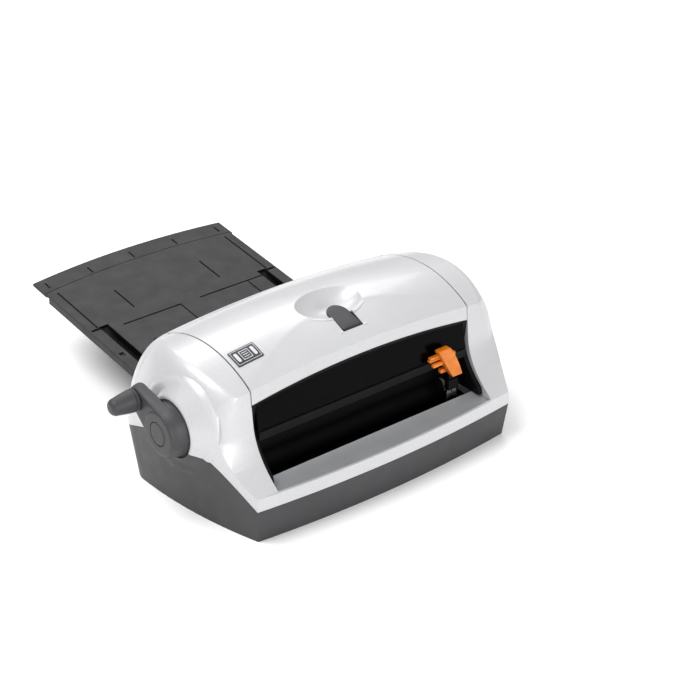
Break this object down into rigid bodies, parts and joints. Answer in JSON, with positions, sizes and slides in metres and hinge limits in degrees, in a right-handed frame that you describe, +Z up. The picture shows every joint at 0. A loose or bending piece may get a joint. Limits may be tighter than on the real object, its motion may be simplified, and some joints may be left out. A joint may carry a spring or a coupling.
{
  "type": "hand-cranked pouch laminator",
  "caption": "Desktop cold laminator with a side crank, hinged lid with finger latch, smoked window, sliding cutter, film cartridge and folding feed tray.",
  "frame": {"origin": "middle of the whole object's box, at the level of the surface it stands on", "axes": "+X along the rollers with the crank at -X, -Y is the output side, +Y runs out along the feed tray, +Z up"},
  "size_m": [0.4081, 0.4605, 0.1635],
  "materials": {
    "base_grey": "fine moulded grain, satin",
    "pearl_housing": "pearl silver-white, satin gloss",
    "deck_silver": "metallic grey, satin",
    "black_plastic": "fine moulded grain",
    "frame_steel": "black coated",
    "steel": "turned and ground",
    "bush_nylon": "natural nylon",
    "gear_nylon": "natural nylon",
    "roller_rubber": "ground silicone",
    "foot_rubber": "matte",
    "smoked_window": "smoked, glossy",
    "cutter_orange": "translucent orange, satin",
    "badge": "printed plate",
    "film": "clear film on a roll",
    "core_white": "satin",
    "flap_smoke": "clear smoked film"
  },
  "bodies": {
    "root": {"base_pan": "base_grey", "rubber_feet": "foot_rubber", "base_screws": "steel", "upper_housing": "pearl_housing", "output_deck": "deck_silver", "left_side_frame": "frame_steel", "right_side_frame": "frame_steel", "frame_tie_rods": "steel", "shaft_bushes": "bush_nylon", "feed_table": "black_plastic", "crank_bush": "bush_nylon", "nip_springs": "steel", "window_frame": "black_plastic", "window": "smoked_window", "cutter_rail": "black_plastic", "lid_hinge_brackets": "pearl_housing", "lid_hinge_pins": "steel", "latch_catch": "black_plastic", "cartridge_frame": "black_plastic", "film_guide": "black_plastic", "film_flap": "flap_smoke", "tray_hinge_pins": "steel", "tray_brackets": "base_grey"},
    "crank": {"crank_arm": "base_grey", "crank_cap": "base_grey", "crank_shaft": "steel", "crank_gear": "gear_nylon", "knob_pin": "steel"},
    "knob": {"crank_knob": "base_grey"},
    "lower_roller": {"lower_roller_shaft": "steel", "lower_roller_sleeve": "roller_rubber", "lower_roller_gear": "gear_nylon"},
    "upper_roller": {"upper_roller_shaft": "steel", "upper_roller_sleeve": "roller_rubber", "upper_roller_gear": "gear_nylon"},
    "upper_film_roll": {"upper_core": "core_white", "upper_film": "film", "upper_roll_hubs": "black_plastic"},
    "lower_film_roll": {"lower_core": "core_white", "lower_film": "film", "lower_roll_hubs": "black_plastic"},
    "cutter": {"cutter_slider": "cutter_orange", "cutter_arm": "black_plastic", "cutter_blade": "steel"},
    "lid": {"lid_shell": "pearl_housing", "badge_plate": "badge", "latch_pin": "steel", "latch_spring": "steel"},
    "latch": {"latch_lever": "base_grey"},
    "tray": {"feed_tray": "base_grey"}
  },
  "joints": [
    {"name": "crank_spin", "type": "hinge", "parent": "root", "child": "crank", "pos_m": [0.022, -0.1322, 0.0933], "axis": [1, 0, 0], "continuous": true},
    {"name": "knob_spin", "type": "hinge", "parent": "crank", "child": "knob", "pos_m": [-0.177, -0.09665, 0.11333], "axis": [1, 0, 0], "continuous": true},
    {"name": "lower_roller_spin", "type": "hinge", "parent": "root", "child": "lower_roller", "pos_m": [0.022, -0.15547, 0.038], "axis": [1, 0, 0], "continuous": true},
    {"name": "upper_roller_spin", "type": "hinge", "parent": "root", "child": "upper_roller", "pos_m": [0.022, -0.15547, 0.062], "axis": [1, 0, 0], "continuous": true},
    {"name": "upper_film_roll_spin", "type": "hinge", "parent": "root", "child": "upper_film_roll", "pos_m": [0.022, -0.07767, 0.09745], "axis": [1, 0, 0], "continuous": true},
    {"name": "lower_film_roll_spin", "type": "hinge", "parent": "root", "child": "lower_film_roll", "pos_m": [0.022, -0.127, 0.027], "axis": [1, 0, 0], "continuous": true},
    {"name": "cutter_slide", "type": "slide", "parent": "root", "child": "cutter", "axis": [1, 0, 0], "range_m": [-0.198, 0]},
    {"name": "lid_hinge", "type": "hinge", "parent": "root", "child": "lid", "pos_m": [0.022, -0.0356, 0.0964], "axis": [-1, 0, 0], "range_deg": [0, 55]},
    {"name": "latch_pivot", "type": "hinge", "parent": "lid", "child": "latch", "pos_m": [0.022, -0.1655, 0.1476], "axis": [1, 0, 0], "range_deg": [0, 14], "stiffness_Nm_per_rad": 0.05, "springref_deg": -14.32},
    {"name": "tray_hinge", "type": "hinge", "parent": "root", "child": "tray", "pos_m": [0.022, -0.027, 0.0456], "axis": [1, 0, 0], "range_deg": [0, 60]}
  ],
  "couplings": [
    {"joint": "upper_roller_spin", "follows": "crank_spin", "ratio": -2.25},
    {"joint": "lower_roller_spin", "follows": "crank_spin", "ratio": 2.25},
    {"joint": "upper_film_roll_spin", "follows": "crank_spin", "ratio": 1.5429},
    {"joint": "lower_film_roll_spin", "follows": "crank_spin", "ratio": -1.5429}
  ]
}
